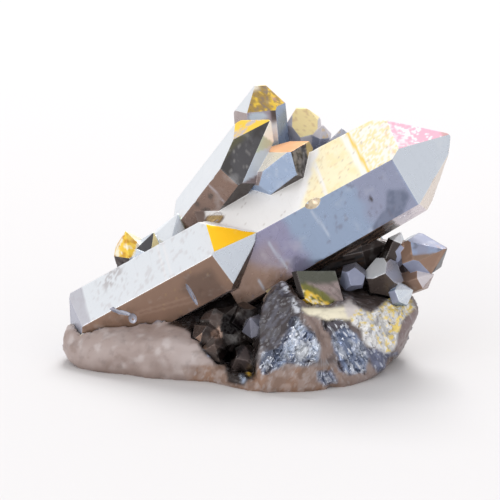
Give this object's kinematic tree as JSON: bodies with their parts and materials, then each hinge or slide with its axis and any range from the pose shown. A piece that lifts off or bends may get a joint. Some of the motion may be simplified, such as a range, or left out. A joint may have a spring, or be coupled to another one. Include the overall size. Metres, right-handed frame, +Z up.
{
  "type": "metal-coated quartz crystal cluster",
  "caption": "Natural cluster of leaning quartz points on a lump of host rock, vacuum coated with metal so that its flats shine silver-blue, gold and orange.",
  "frame": {"origin": "middle of the underside's bounding box, on the plane that the cluster rests on", "axes": "+X to the right along the longest crystal's lean, +Y from the front to the back, +Z up"},
  "size_m": [0.0704, 0.0492, 0.0479],
  "materials": {
    "coated_crystal": "mirror-smooth metal film on flat crystal faces, silver-blue with gold, orange, pink and bronze zones",
    "blue_crystal": "metal film on small crystals, blue-grey with violet and brown faces",
    "dark_crystal": "thin bronze-black film on the crystals that line the hollow",
    "host_rock": "milky vein quartz, smooth and matt where bare, rough and glittering where the film covers it"
  },
  "bodies": {
    "root": {"main_crystals": "coated_crystal", "right_crystals": "blue_crystal", "pocket_crystal": "blue_crystal", "ledge_crystal": "coated_crystal", "back_crystal_left": "coated_crystal", "back_crystal_middle": "coated_crystal", "back_crystal_low": "blue_crystal", "hollow_crystals": "dark_crystal", "matrix": "host_rock"}
  },
  "joints": []
}
